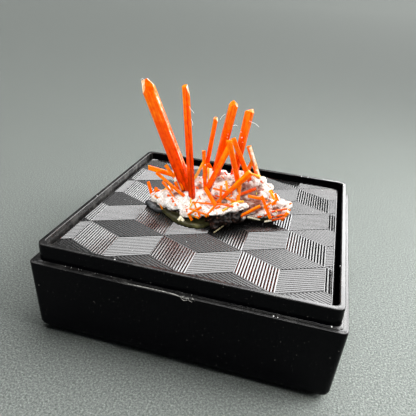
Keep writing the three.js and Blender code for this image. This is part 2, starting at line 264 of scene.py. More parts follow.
def crocoite(name, foot, deep, body, light, glow):
    """Crocoite, lead chromate: a gloss over a saturated translucent orange that turns to a deep red
    towards the crystal's foot, with lengthwise striations, pale bruised faces and pale painted
    highlights where faces catch the lamps' glare. The mesh gives along, which is 1 at the tip,
    bruise_and_painted_light, which is above 0 on bruised faces and painted highlights and below 0 on a
    face painted darker, partly as painted shade, and grain, a place drawn out along the crystal. Real
    striations are finer than 0.34 mm: these are as coarse as they need to show."""
    made, tree, sockets, place = material(name, {
        "IOR": 1.7, "Subsurface Scale": 1.3 * MM, "Subsurface Radius": (1.0, 0.35, 0.04),
        "Specular IOR Level": 0.15})
    along, bruise_and_painted_light, grain = (add_node(tree, ATTRIBUTE, attribute_name=name)
                          for name in ("along", "bruise_and_painted_light", "grain"))
    streaks = add_node(tree, NOISE, {"Scale": 1 / 0.34, "Detail": 4.0, "Roughness": 0.62},
                       {"Vector": grain})
    blotches = add_node(tree, NOISE, grain_of(1.0, 4.0, 0.65), {"Vector": place})
    tone = add_node(tree, "ShaderNodeMath", {1: 0.3}, {0: blotches}, operation="MULTIPLY")
    tone = add_node(tree, "ShaderNodeMath", {1: 0.42}, {0: streaks, 2: tone}, operation="MULTIPLY_ADD")
    tone = add_node(tree, "ShaderNodeMath", {1: 0.28}, {0: along, 2: tone}, operation="MULTIPLY_ADD")
    # faces marked below 0 are painted darker, partly as painted shade
    darker = add_node(tree, "ShaderNodeMath", {1: 0.0}, {0: bruise_and_painted_light}, operation="MINIMUM")
    tone = add_node(tree, "ShaderNodeMath", {1: 0.14}, {0: darker, 2: tone}, operation="MULTIPLY_ADD")
    colour = add_node(tree, RAMP, links={"Fac": tone},
                      stops=[(0.36, foot), (0.43, deep), (0.54, body), (0.7, light)])
    # pale where bruised and where a painted highlight is marked, broken up by the streaks
    flaws_and_glare = add_node(tree, "ShaderNodeMath", links={0: bruise_and_painted_light, 1: streaks}, operation="ADD")
    share = add_node(tree, RANGE, {"From Min": 0.94, "From Max": 1.12}, {"Value": flaws_and_glare})
    bruise_and_glare = add_node(tree, RAMP, links={"Fac": blotches},
                      stops=[(0.36, "#FFA050"), (0.48, "#FFD0A0"), (0.6, "#FFF8EE")])
    add_node(tree, MIX, links={SHARE: share, FIRST: colour, SECOND: bruise_and_glare}, data_type="RGBA",
             feeds=sockets["Base Color"])
    add_node(tree, RANGE, {"To Min": glow, "To Max": 0.0}, {"Value": share},
             feeds=sockets["Subsurface Weight"])
    add_node(tree, RANGE, {"To Min": 0.04, "To Max": 0.34}, {"Value": streaks},
             feeds=sockets["Roughness"])
    add_node(tree, BUMP, {"Distance": 0.03 * MM}, {"Height": streaks}, feeds=sockets["Normal"])
    return made


def powdery(name, dark, light):
    """Fine dry stuff, such as cotton dust, clay or scuffed plastic: matt, a little uneven in colour."""
    made, tree, sockets, place = material(name, {"Roughness": 0.9})
    mottle = add_node(tree, NOISE, grain_of(0.3), {"Vector": place})
    add_node(tree, RAMP, links={"Fac": mottle}, stops=[(0.35, dark), (0.65, light)],
             feeds=sockets["Base Color"])
    return made


# The walls look almost pure black. The handled ledge and rim are greyed partly by rubbing and partly
# as a painted highlight, and the inner wall at the left as a painted reflection.
BOX_PLASTIC = polystyrene_black("polystyrene_black_gloss", 0.2, 0.05)
RUBBED_AND_SHEEN_PLASTIC = polystyrene_black("polystyrene_black_rubbed_and_painted_light", 0.2, 0.44)
RIB_PLASTIC = ribbed_plastic()
# The pad is a pale yellowish putty painted a deep olive, which is painted shade from the rock over
# it, and the roll squeezed out beside it a shinier dark grey.
SHADED_PUTTY = mounting_putty("mounting_putty_olive_shaded", "#1B1B0E", "#34331D", "#5A5734", 0.42)
DARK_PUTTY = mounting_putty("mounting_putty_grey", "#18191A", "#303234", "#6A6C6E", 0.36)
ROCK = crusted_rock()
# Thick crystals are the deepest orange, and needles are brighter. Some needles are amber where light
# goes through them, a dark red where they are buried in the crust, which is partly painted shade, or
# rose where they are bruised all over.
ORANGE = crocoite("crocoite_orange", "#A82C00", "#DE4000", "#E85800", "#F4900C", 1.0)
THIN = crocoite("crocoite_thin", "#B03000", "#E84400", "#F05A00", "#F87C0A", 0.8)
AMBER = crocoite("crocoite_amber", "#F05000", "#FF7400", "#FF9A18", "#FFBC60", 1.0)
SHADED_RED = crocoite("crocoite_red_shaded", "#420E04", "#782008", "#B4340A", "#E8601A", 0.4)
ROSE = crocoite("crocoite_rose", "#D06038", "#EFA078", "#F6CDB8", "#FFEAE0", 0.6)
# Lint is bright white, ochre a dull brownish clay, chalk a creamy one, and scuffed plastic grey.
LINT = powdery("cotton_lint", "#D9D8D4", "#FAFAF8")
OCHRE = powdery("ochre_clay", "#544B34", "#988D6E")
CHALK = powdery("chalky_clay", "#BDB38C", "#F4F0DC")
SCUFF = powdery("polystyrene_scuffed", "#4A4946", "#B8B6B0")


# ---------- the display-box base ----------
def lofted(profile, centre_x=0.0):
    """A closed body: a square with rounded corners, drawn through rows of half its side, its corner
    radius and its height."""
    half, corner, z = profile[0]
    bm = bmesh.new()
    bmesh.ops.create_grid(bm, x_segments=1, y_segments=1, size=half)
    bmesh.ops.bevel(bm, geom=bm.verts[:], offset=corner, segments=5, profile=0.5,
                    affect="VERTICES", material=-1)
    bmesh.ops.translate(bm, vec=(0, 0, z), verts=bm.verts)
    cap = bm.faces[:][0]
    for number, (next_half, next_corner, next_z) in enumerate(profile[1:]):
        old_cap = cap
        made = bmesh.ops.extrude_face_region(bm, geom=[cap])["geom"]
        cap = next(part for part in made if isinstance(part, bmesh.types.BMFace))
        if number:
            bmesh.ops.delete(bm, geom=[old_cap], context="FACES_ONLY")
        for vert in cap.verts:
            side = Vector((math.copysign(1, vert.co.x), math.copysign(1, vert.co.y), 0))
            round_part = (vert.co - side * (half - corner)) * (next_corner / corner)
            vert.co = side * (next_half - next_corner) + round_part
            vert.co.z = next_z
        half, corner = next_half, next_corner
    bmesh.ops.recalc_face_normals(bm, faces=bm.faces)
    bmesh.ops.translate(bm, vec=(centre_x, 0, 0), verts=bm.verts)
    return bm


def box_profile():
    """The moulding from its underside, up outside, over the rim and down the inner wall to the floor.
    Each row is half a side, the corners' radius and the height."""
    foot, ledge, lip, inner = FOOT_HALF, LEDGE_HALF, LIP_HALF, WALL_INNER_HALF
    lower_edge = [
        (foot - 2.6, 0.5, 0.0), (foot - 1.5, 0.8, 0.25), (foot - 0.75, 1.0, 0.65),
        (foot - 0.25, 1.1, 1.2), (foot, 1.15, FOOT_ROUND),
    ]
    ledge_edge = [
        (ledge - 0.012, 1.0, LEDGE_Z - 0.5), (ledge, 1.0, LEDGE_Z - 0.12),
        (ledge - 0.05, 0.98, LEDGE_Z - 0.05), (ledge - 0.12, 0.96, LEDGE_Z),
    ]
    tool_marks = [  # two shallow grooves that run round the ledge
        (ledge - 0.32, 0.96, LEDGE_Z), (ledge - 0.35, 0.96, LEDGE_Z - 0.04), (ledge - 0.4, 0.96, LEDGE_Z),
        (ledge - 0.86, 0.96, LEDGE_Z), (ledge - 0.89, 0.96, LEDGE_Z - 0.04), (ledge - 0.94, 0.96, LEDGE_Z),
    ]
    lip_outside = [
        (lip + 0.12, 1.4, LEDGE_Z), (lip + 0.03, 1.4, LEDGE_Z + 0.05), (lip, 1.4, LEDGE_Z + 0.16),
        (lip, 1.4, RIM_Z - 0.16), (lip - 0.05, 1.35, RIM_Z - 0.05), (lip - 0.16, 1.3, RIM_Z),
    ]
    wall_inside = [
        (inner + 0.16, 1.3, RIM_Z), (inner + 0.05, 1.25, RIM_Z - 0.05), (inner, 1.2, RIM_Z - 0.16),
        (inner - 0.02, 1.2, BOX_FLOOR_Z),
    ]
    return lower_edge + ledge_edge + tool_marks + lip_outside + wall_inside


LEDGE_WEAR_AND_HIGHLIGHT = 0.15  # how grey the ledge and rim are, as a share: partly wear, partly painted highlight
WALL_PAINTED_REFLECTION = 0.5  # how grey the inner wall at the left is painted, as a painted reflection of the deck


def box_shell():
    """The moulding. Its ledge and rim are greyed, partly as rubbing and partly as a painted highlight,
    and its inner wall at the left as a painted reflection of the deck.
    """
    bm = lofted(box_profile())
    wear_and_painted_light = bm.faces.layers.float.new("wear_and_painted_light")
    bm.normal_update()
    for face in bm.faces:
        middle = face.calc_center_median()
        # upward faces of the ledge and rim: rubbed, with a painted highlight
        if face.normal.z > 0.3 and middle.z > LEDGE_Z - 0.3:
            face[wear_and_painted_light] = LEDGE_WEAR_AND_HIGHLIGHT
            face.material_index = 1
        # the inner wall at the left: a painted reflection of the deck
        elif face.normal.x > 0.7 and middle.x < 0:
            face[wear_and_painted_light] = WALL_PAINTED_REFLECTION
            face.material_index = 1
    piece("box_shell", bm, [BOX_PLASTIC, RUBBED_AND_SHEEN_PLASTIC], ["box_base"],
          SOFT_BELOW_SHELL, True)


def tube(bm, points, radius):
    """Adds a thin thread through points."""
    for start, end in zip(points, points[1:]):
        reach = Vector(end) - Vector(start)
        place = Matrix.LocRotScale((Vector(start) + Vector(end)) / 2, reach.to_track_quat("Z", "Y"), None)
        bmesh.ops.create_cone(bm, cap_ends=True, segments=5, radius1=radius, radius2=radius,
                              depth=reach.length + radius, matrix=place)


SCRATCH = [  # along the front edge of the ledge
    (-9.0, -28.9, 16.02), (-5.6, -28.8, 16.05), (-2.6, -28.8, 16.08),
    (-0.9, -28.9, 16.12), (0.3, -29.0, 16.05),
]
SCRATCH_RADIUS = 0.09
FLASH_THREADS = 7
FLASH_RADIUS = 0.055


def torn_flash():
    """A snag of moulding flash at the front of the ledge, and the scratch that leads to it."""
    bm = bmesh.new()
    tube(bm, SCRATCH, SCRATCH_RADIUS)
    chance = random.Random(3)
    for _ in range(FLASH_THREADS):
        spot = Vector((chance.uniform(0.2, 2.6), -LEDGE_HALF, 0))
        spot.z = LEDGE_Z + 0.15 - 0.22 * spot.x
        points = [spot.copy()]
        for _ in range(4):
            spot += Vector((chance.uniform(-0.5, 0.6), chance.uniform(-0.1, 0.1),
                            chance.uniform(-0.35, 0.3)))
            points.append(spot.copy())
        tube(bm, points, FLASH_RADIUS)
    piece("torn_flash", bm, SCUFF)


# ---------- the insert and its tumbling blocks ----------
RIB_PITCH = 0.565
RIB_HEIGHT = 0.11
RIB_FOOT_Z = DECK_Z - 0.06
COLUMN = 8.1  # between the columns of cubes
UPRIGHT = 7.9  # length of a cube's upright edge
RISE = 3.9  # how far a slanting edge rises over one column
CUBE_STEP = 23.6  # between the cubes of one column
CUBE_Y_EVEN = -17.6  # where the even columns start, and below it the odd ones
CUBE_Y_ODD = -5.8
COLUMNS, ROWS = range(-4, 5), range(-2, 4)  # enough to cover the insert
PATTERN_TURN = math.radians(0.4)
PATTERN_HALF = DECK_HALF - 0.5  # the pattern ends inside the insert's own edge
SEAM = 0.05  # half the groove between two faces of the pattern
GROOVE = 0.1  # half the groove between two ribs, as a share of their pitch
GROOVE_DEPTH = 0.12
SKIRT_DEPTH = 0.02  # how far a tile's border goes down below its grooves, into the insert


def insert_body():
    """The block under the pattern, with a narrow rounded border round a shallow recess for the ribs."""
    side = DECK_HALF
    recess_z = RIB_FOOT_Z - GROOVE_DEPTH
    bm = lofted([
        (side - 0.1, 0.6, BOX_FLOOR_Z + 0.05), (side, 0.8, BOX_FLOOR_Z + 0.3), (side, 0.9, DECK_Z - 0.3),
        (side - 0.1, 0.9, DECK_Z - 0.1), (side - 0.3, 0.9, DECK_Z), (side - 0.42, 0.8, DECK_Z),
        (side - 0.5, 0.8, recess_z), (0.6 * side, 0.5, recess_z),
    ], DECK_SHIFT_X)
    piece("insert_body", bm, RIB_PLASTIC, ["deck_insert"], SOFT_BELOW_INSERT, True)


def ribbed_tile(corners, along):
    """One face of a cube: its outline clipped to the insert, then cut along its ribs and pleated.
    Nothing is left of a face that lies outside the insert."""
    tile = bmesh.new()
    tile.faces.new([tile.verts.new(corner) for corner in corners])
    tile.normal_update()
    if tile.faces[:][0].normal.z < 0:
        bmesh.ops.reverse_faces(tile, faces=tile.faces)
    for side in (Vector((1, 0, 0)), Vector((-1, 0, 0)), Vector((0, 1, 0)), Vector((0, -1, 0))):
        middle = Vector((DECK_SHIFT_X, 0, 0)) + side * PATTERN_HALF
        bmesh.ops.bisect_plane(tile, geom=tile.verts[:] + tile.edges[:] + tile.faces[:],
                               plane_co=middle, plane_no=side, clear_outer=True)
    if not tile.faces:
        tile.clear()
        return tile
    across = Vector((-along.y, along.x, 0)).normalized()
    centre = sum((v.co for v in tile.verts), Vector()) / len(tile.verts)
    for vert in tile.verts:  # leaves the seam between neighbours open
        vert.co += (centre - vert.co).normalized() * SEAM
    origin = corners[0].dot(across)
    spans = [v.co.dot(across) - origin for v in tile.verts]
    for rib in range(math.floor(min(spans) / RIB_PITCH), math.ceil(max(spans) / RIB_PITCH)):
        for phase in (0, GROOVE, 0.5, 1 - GROOVE):
            bmesh.ops.bisect_plane(tile, geom=tile.verts[:] + tile.edges[:] + tile.faces[:],
                                   plane_co=across * (origin + (rib + phase) * RIB_PITCH),
                                   plane_no=across)
    for vert in tile.verts:
        phase = ((vert.co.dot(across) - origin) / RIB_PITCH) % 1.0
        from_groove = min(phase, 1 - phase)
        sunk = GROOVE_DEPTH * max(0.0, 1 - from_groove / GROOVE)
        vert.co.z = RIB_FOOT_Z + 2 * RIB_HEIGHT * from_groove - sunk
    border = [edge for edge in tile.edges if edge.is_boundary]
    skirt = bmesh.ops.extrude_edge_only(tile, edges=border)["geom"]
    for vert in skirt:
        if isinstance(vert, bmesh.types.BMVert):
            vert.co.z = RIB_FOOT_Z - GROOVE_DEPTH - SKIRT_DEPTH
    return tile


def tumbling_blocks():
    """The traditional pattern of cubes seen corner on; each of the three faces is ribbed its own way."""
    tiles = []
    turn = Matrix.Rotation(PATTERN_TURN, 3, "Z")
    up, right, left = Vector((0, 1, 0)), Vector((COLUMN, RISE, 0)), Vector((-COLUMN, RISE, 0))
    down = Vector((0, -UPRIGHT, 0))
    for column in COLUMNS:
        start = CUBE_Y_EVEN if column % 2 == 0 else CUBE_Y_ODD
        for row in ROWS:
            centre = Vector((column * COLUMN, start + row * CUBE_STEP, 0))
            faces = (
                ([centre, centre + right, centre + right + down, centre + down], right),
                ([centre, centre + down, centre + left + down, centre + left], up),
                ([centre, centre + left, centre + left + right, centre + right], left),
            )
            for corners, along in faces:
                tiles.append(ribbed_tile([turn @ corner for corner in corners], turn @ along))
    piece("insert_ribs", joined(tiles), RIB_PLASTIC, ["deck_insert"])


# ---------- putty ----------
PUTTY_ROLL = [  # the dark roll squeezed out at the left: centre, then radii
    [(-16.3, -1.5, 18.4), (0.85, 0.75, 0.6)], [(-15.5, -2.0, 18.4), (1.1, 0.85, 0.6)],
    [(-14.3, -2.9, 18.35), (1.3, 1.0, 0.55)], [(-12.9, -3.9, 18.3), (1.3, 0.9, 0.5)],
]


def balls(bm, shapes, subdivisions):
    """Adds an ellipsoid for each centre and radii."""
    for centre, radii in shapes:
        size = Matrix.LocRotScale(Vector(centre), None, Vector(radii))
        bmesh.ops.create_icosphere(bm, subdivisions=subdivisions, radius=1.0, matrix=size)


def pressed(bm, voxel_mm, depth_mm):
    """Putty pushed into one lump and dented by a thumb; it stops at the deck."""
    bm = remeshed(bm, voxel_mm)
    for _ in range(6):
        bmesh.ops.smooth_vert(bm, verts=bm.verts, factor=0.5, use_axis_x=True, use_axis_y=True,
                              use_axis_z=True)
    bm.normal_update()
    for vert in bm.verts:
        dent = noise.noise(vert.co * 0.45) + 0.3 * noise.noise(vert.co * 1.6)
        vert.co += vert.normal * (depth_mm * dent)
        vert.co.z = max(vert.co.z, DECK_Z - 0.02)
    return bm


def putty():
    """The olive pad, which keeps the CAD's outline, and the dark roll beside it."""
    bm = bmesh.new()
    bm.from_mesh(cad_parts["mounting_putty"].data)
    bmesh.ops.scale(bm, vec=Vector((1 / MM,) * 3), verts=bm.verts)
    bmesh.ops.remove_doubles(bm, verts=bm.verts, dist=0.001)
    piece("putty_pad", pressed(bm, 0.2, 0.22), SHADED_PUTTY, ["mounting_putty"], SOFT_BELOW_LUMPY)
    bm = bmesh.new()
    balls(bm, PUTTY_ROLL, 3)
    piece("putty_roll", pressed(bm, 0.12, 0.1), DARK_PUTTY, ["mounting_putty"],
          SOFT_BELOW_LUMPY)


# ---------- matrix ----------
LUMPS = [  # centre, then radii: host rock, left wing, front, middle, right
    [(-4.5, -0.8, 20.2), (9.6, 5.4, 2.3)], [(5.4, 2.0, 20.6), (7.4, 4.8, 2.9)],
    [(1.4, -5.2, 20.0), (4.2, 3.0, 1.9)], [(4.4, -3.2, 20.0), (2.6, 2.2, 1.8)],
    [(-15.4, -0.3, 19.6), (1.2, 1.0, 0.7)], [(-13.7, -0.5, 19.7), (2.2, 2.1, 1.3)],
    [(-11.4, -1.6, 19.6), (2.5, 2.3, 1.5)], [(-11.2, 1.6, 20.0), (2.9, 2.7, 1.7)],
    [(-8.4, -3.2, 19.7), (2.8, 2.1, 1.7)], [(-7.3, -1.4, 20.4), (3.0, 2.8, 2.0)],
    [(-8.8, 2.6, 21.0), (2.8, 2.7, 1.8)],
    [(-5.2, -4.8, 19.9), (2.6, 2.3, 1.7)], [(-2.6, -5.0, 20.7), (2.8, 2.4, 1.6)],
    [(0.6, -5.6, 21.0), (3.0, 2.3, 1.2)], [(2.8, -4.2, 21.4), (2.8, 2.3, 1.2)],
    [(5.2, -2.4, 21.6), (2.0, 1.8, 1.5)],
    [(-5.8, 3.6, 22.0), (3.2, 2.8, 2.3)], [(-3.2, -0.6, 21.4), (3.4, 3.3, 2.1)],
    [(-1.2, 1.4, 22.8), (3.3, 3.2, 2.1)], [(2.2, 0.8, 22.6), (3.2, 3.0, 2.3)],
    [(-1.2, 5.2, 23.6), (3.2, 2.8, 2.6)],
    [(3.3, 4.8, 24.2), (3.0, 2.8, 2.6)], [(6.2, 4.8, 24.2), (2.8, 2.7, 2.6)],
    [(7.6, 5.6, 24.7), (1.8, 1.7, 1.5)], [(9.1, 5.2, 23.8), (1.8, 1.7, 1.5)],
    [(8.9, 3.2, 23.0), (2.2, 2.0, 1.7)], [(6.9, 0.8, 21.9), (3.0, 2.5, 1.7)],
    [(11.2, 3.0, 22.0), (2.0, 1.9, 1.5)], [(13.6, 3.8, 21.2), (2.1, 1.7, 1.3)],
    [(11.7, 1.5, 20.4), (1.6, 1.5, 1.8)], [(8.6, -0.2, 20.4), (2.8, 1.7, 1.4)],
    [(13.7, 1.5, 20.2), (1.8, 1.7, 1.1)], [(12.3, -0.7, 20.6), (1.1, 0.9, 1.2)],
    [(0.9, -7.0, 18.9), (1.5, 1.9, 0.8)],
]
HOLLOWS = [  # purple-brown pockets in the crust: centre, radius, depth
    [(6.6, 0.4, 23.6), 2.9, 1.0], [(7.8, -0.6, 21.8), 2.6, 0.8], [(4.6, 0.6, 24.2), 1.7, 0.5],
    [(-2.2, -0.4, 23.4), 1.2, 0.4], [(-4.8, 1.0, 23.6), 1.5, 0.45], [(2.6, 1.6, 25.0), 1.2, 0.3],
    [(12.8, 0.8, 20.4), 1.6, 0.4], [(14.2, 0.0, 20.3), 1.5, 0.5],
    [(10.4, 1.0, 22.4), 1.1, 0.35], [(1.6, -3.0, 22.6), 1.2, 0.35],
    [(-9.0, -1.6, 21.7), 1.5, 0.35], [(8.4, 2.8, 24.6), 0.9, 0.3],
]
ROCK_VOXEL = 0.15
BROAD_PUFFS, SMALL_PUFFS, CRUMBS = 0.42, 1.1, 2.6  # swellings to a millimetre
ASIDE_SMALL, ASIDE_CRUMBS = Vector((7, 3, 5)), Vector((2, 9, 4))  # so that they don't coincide
SEAT_EVERY = 40  # one of so many vertices of the crust may carry a small crystal


def swelling(place, scale):
    """Rounded swellings, about 1/scale mm apart, with sharp creases where this falls to 0."""
    return min(1.0, 2.4 * abs(noise.noise(place * scale)))


def hollow_share(place):
    """How far a place lies in a hollow, with a ragged edge."""
    deepest = max(smoothstep(1.1 * radius, 0.6 * radius, (place - Vector(centre)).length)
                  for centre, radius, _ in HOLLOWS)
    return min(1.0, max(0.0, deepest * (1.1 + 1.3 * noise.noise(place * 1.1))))


def crust_height(place):
    """How far the crust stands out from the plain lumps, or goes in, in millimetres."""
    puffs = 0.55 * swelling(place, BROAD_PUFFS) + 0.15 * swelling(place + ASIDE_SMALL, SMALL_PUFFS)
    crumbs = 0.035 * swelling(place + ASIDE_CRUMBS, CRUMBS)
    sunk = sum(depth * smoothstep(radius, 0.25 * radius, (place - Vector(centre)).length)
               for centre, radius, depth in HOLLOWS)
    return puffs + crumbs - 0.42 - sunk


def broken_front(place):
    """The share of the dark host rock's broken face, in front below the pale crust's lip; its dark is
    partly painted shade.
    """
    wobble = 0.5 * noise.noise(place * 0.9) + 0.3 * noise.noise(place * 2.2)
    lip_z = 20.8 + 0.47 * place.x - 0.55 * (place.y + 7)
    below = smoothstep(0.14, -0.14, place.z - lip_z + 0.6 * wobble)
    across = smoothstep(-4.4, -3.4, place.x + wobble) * smoothstep(7.4, 6.2, place.x + wobble)
    return below * across * smoothstep(-1.2, -2.4, place.y)


def matrix_rock():
    """The rock with its crust; returns places and normals on the crust where small crystals may sit."""
    bm = bmesh.new()
    balls(bm, LUMPS, 4)
    bm = remeshed(bm, ROCK_VOXEL)
    crease_stain_and_shade, hollow, host_and_shade = [bm.verts.layers.float.new(name) for name in ("crease_stain_and_shade", "hollow", "host_and_shade")]
    bm.normal_update()
    for vert in bm.verts:
        small = swelling(vert.co + ASIDE_SMALL, SMALL_PUFFS)
        puff = min(swelling(vert.co, BROAD_PUFFS), 1.3 * small)
        # creases between puffs: pink stain and painted shade, fainter on the left wing
        stain_and_shade_strength = 0.4 + 0.6 * smoothstep(-6, 3, vert.co.x)  # the left wing is the whitest
        vert[crease_stain_and_shade] = smoothstep(0.26, 0.04, puff) * stain_and_shade_strength
        vert[host_and_shade] = broken_front(vert.co)
        chipped = 0.45 * vert[host_and_shade] * (1 + noise.noise(vert.co * 1.3))
        vert.co += vert.normal * (crust_height(vert.co) - chipped)
        vert.co.z = max(vert.co.z, DECK_Z + 0.35 + 0.3 * noise.noise(vert.co))
    bm.normal_update()
    for vert in bm.verts:
        vert[hollow] = hollow_share(vert.co)
        # dark on faces that turn down and near the deck: bare host rock, and painted shade under the rock
        bare_and_shaded_below = smoothstep(-0.1, -0.5, vert.normal.z + 0.3 * noise.noise(vert.co * 0.9))
        foot = smoothstep(19.3, 18.9, vert.co.z + 0.3 * noise.noise(vert.co * 1.5))
        vert[host_and_shade] = max(vert[host_and_shade], bare_and_shaded_below, foot)
    seats = [(vert.co.copy(), vert.normal.copy()) for vert in bm.verts[:][::SEAT_EVERY]
             if vert.normal.z > 0.1 and vert[host_and_shade] < 0.3]
    piece("matrix_rock", bm, ROCK, ["matrix"], SOFT_BELOW_LUMPY)
    return seats


# ---------- crystals ----------
# An end face is its direction about the axis in radians (0 left, 1.57 front), its slope, how far down
# it starts in widths, and how pale it is. A pale side is its direction, its spread and how pale it is.
# Paleness stands partly for bruising and partly for a painted highlight, where a face catches the
# lamps' glare. A face that is darker than the rest is less than 0 pale, partly as painted shade.
CHISEL = [[1.4, 0.5, 0.05, 0.0], [-1.7, 0.45, 0.05, 0.5]]
CRYSTALS = {
    "crystal_left_broad": [
        dict(tip=(-18.6, 1.5, 45.5), foot=(-7.4, 0.7, 21.6), width=2.55, thick=2.15, roll=0.0,
             bevel=0.13, narrow=1.05,
             ends=[[2.1, 1.22, -0.16, -0.5], [0.95, 1.1, -0.1, 1.0], [3.4, 1.1, -0.32, 1.0],
                   [0.0, 0.0, 0.02, 1.0]],
             bruise_and_painted_light=[[2.36, 0.2, 0.3], [3.14, 0.2, 0.5]]),
        dict(tip=(-13.2, 0.6, 27.4), foot=(-7.8, -0.1, 21.6), width=0.75, thick=0.6),
        dict(tip=(-17.9, 1.9, 25.5), foot=(-11.4, 1.9, 24.7), width=1.1, thick=0.95, roll=0.5,
             root=2.4),
    ],
    "crystal_left_upright": [
        dict(tip=(-8.8, -1.0, 45.9), foot=(-5.6, -2.7, 21.8), width=1.4, thick=1.2, roll=-0.45,
             ends=[[1.2, 0.3, 0.1, 0.0], [3.15, 1.34, -0.78, 1.0]],
             bruise_and_painted_light=[[3.48, 0.4, 0.5], [0.33, 0.25, 0.42], [1.9, 0.25, -0.8]]),
    ],
    "crystal_left_pointing": [
        dict(tip=(-14.9, -0.8, 25.8), foot=(-8.4, -2.4, 22.6), width=0.68, thick=0.6, root=1.2),
    ],
    "crystal_left_small": [
        dict(tip=(-13.8, 0.4, 23.3), foot=(-10.6, -0.6, 20.9), width=0.55, thick=0.5, root=1.3),
        dict(tip=(-12.2, 0.9, 22.6), foot=(-10.1, -0.5, 20.7), width=0.4, thick=0.35, root=1.3),
    ],
    "crystal_middle_slender": [
        dict(tip=(-3.3, 4.5, 38.6), foot=(-5.0, 4.5, 24.2), width=0.95, thick=0.85, roll=0.3,
             ends=[[1.2, 0.5, 0.1, 0.3], [3.0, 1.0, -0.1, 1.0]]),
    ],
    "crystal_middle_broad": [
        dict(tip=(0.7, 3.2, 43.1), foot=(-2.3, 3.8, 25.3), width=1.8, thick=1.6, roll=0.35,
             ends=[[-2.7, 0.55, 0.12, 0.8], [0.6, 0.8, 0.2, 0.0], [2.9, 1.0, -0.25, 0.8]]),
        dict(tip=(-4.0, 3.0, 28.5), foot=(-2.3, 3.4, 26.0), width=0.65, thick=0.5, root=0.4),
    ],
    "crystal_middle_front": [
        dict(tip=(1.1, 0.6, 34.0), foot=(-3.1, -0.6, 23.1), width=1.15, thick=0.95, roll=-0.3),
        dict(tip=(-4.7, 1.2, 32.0), foot=(-3.3, -0.4, 23.2), width=0.8, thick=0.7, roll=0.3),
    ],
    "crystal_right_broad": [
        dict(tip=(4.0, 4.3, 41.8), foot=(1.8, 4.3, 25.4), width=1.8, thick=1.4, roll=-0.3,
             narrow=0.8, ends=[[2.9, 0.9, -0.1, 0.6], [-0.6, 0.75, 0.25, 0.0], [1.2, 0.5, 0.2, 0.2]]),
    ],
    "crystal_right_crossing": [
        dict(tip=(1.3, 1.9, 35.5), foot=(5.1, 2.2, 27.9), width=1.0, thick=0.9, roll=0.5),
    ],
    "crystal_right_front": [
        dict(tip=(1.2, -1.8, 36.1), foot=(3.5, 0.9, 26.3), width=1.15, thick=1.0),
    ],
    "crystal_right_bright": [
        dict(tip=(4.3, 5.6, 33.1), foot=(6.6, 6.2, 27.2), width=1.0, thick=0.9, roll=-0.6, root=2.2,
             bruise_and_painted_light=[[2.54, 0.3, 1.0], [1.75, 0.2, 0.6]]),
        dict(tip=(5.6, 5.75, 30.2), foot=(4.8, 5.1, 27.3), width=0.75, thick=0.6),
    ],
    "crystal_front_diagonal": [
        dict(tip=(6.3, 0.6, 29.1), foot=(0.7, -3.0, 22.9), width=1.5, thick=1.1, roll=0.5,
             narrow=0.35),
    ],
}
SAME_FACE = 0.995  # the cosine between normals from which two faces count as one
STRIA = 0.16  # width of one lengthwise step on a crystal's faces
STRIA_DEPTH = 0.05
STRIA_CHANCE = 0.55  # how often the face steps in or out at one
STRIA_LEVELS = (0.0, 0.35, 0.7, 1.0)  # as shares of the depth
RING_STEP = 1.2  # between the rings of faces along a crystal
DEEPENING = 26.0  # how far below its tip a crystal is at its reddest
ROOT_DEPTH = 1.7  # how far a crystal goes on below its foot, into the rock
GRAIN_STRETCH = 12  # how much longer than wide a crystal's streaks are


def section_points(half_width, half_thick, cut, roll, chance):
    """The prism's outline across it: a bevelled rectangle whose sides run in fine flat steps."""
    rim = []
    for sx, sy in ((1, 1), (-1, 1), (-1, -1), (1, -1)):
        inner = [(half_width - cut, half_thick), (half_width, half_thick - cut)]
        if sx * sy > 0:
            inner.reverse()
        rim += [Vector((sx * x, sy * y, 0)) for x, y in inner]
    points = []
    for start, end in zip(rim, rim[1:] + rim[:1]):
        side = end - start
        steps = max(1, round(side.length / STRIA))
        outward = Vector((side.y, -side.x, 0)).normalized()
        level = 0.0
        for step in range(steps):
            points.append(start + side * (step / steps) - outward * level)
            if step and chance.random() < STRIA_CHANCE:
                level = chance.choice(STRIA_LEVELS) * STRIA_DEPTH
                points.append(start + side * ((step + 0.12) / steps) - outward * level)
    turn = Matrix.Rotation(roll, 3, "Z")
    return [turn @ point for point in points]


def drawn_out(outline, length, narrow):
    """A prism along +Z. At the root it is narrow times as wide as its outline, and at the tip as wide.
    Its attribute along is 1 at the tip and falls towards the root."""
    bm = bmesh.new()
    cap = bm.faces.new([bm.verts.new(point * narrow) for point in outline])
    along = bm.verts.layers.float.new("along")
    for vert in cap.verts:
        vert[along] = 1 - length / DEEPENING
    rings = max(4, round(length / RING_STEP))
    previous = 0.0
    for ring in range(1, rings + 1):
        reach = length * ring / rings
        old_cap = cap
        made = bmesh.ops.extrude_face_region(bm, geom=[cap])["geom"]
        cap = next(part for part in made if isinstance(part, bmesh.types.BMFace))
        if ring > 1:
            bmesh.ops.delete(bm, geom=[old_cap], context="FACES_ONLY")
        verts = list(cap.verts)
        bmesh.ops.translate(bm, vec=(0, 0, reach - previous), verts=verts)
        share_before = narrow + (1 - narrow) * previous / length
        share = narrow + (1 - narrow) * reach / length
        bmesh.ops.scale(bm, vec=Vector((share / share_before, share / share_before, 1)), verts=verts)
        for vert in verts:
            vert[along] = 1 - (length - reach) / DEEPENING
        previous = reach
    return bm


def cut_end(bm, normal, height):
    """Cuts a prism off above a plane through its axis at this height, and closes it."""
    cut = bmesh.ops.bisect_plane(
        bm, geom=bm.verts[:] + bm.edges[:] + bm.faces[:],
        plane_co=(0, 0, height), plane_no=normal, clear_outer=True)["geom_cut"]
    edges = [part for part in cut if isinstance(part, bmesh.types.BMEdge)]
    bmesh.ops.edgenet_fill(bm, edges=edges)


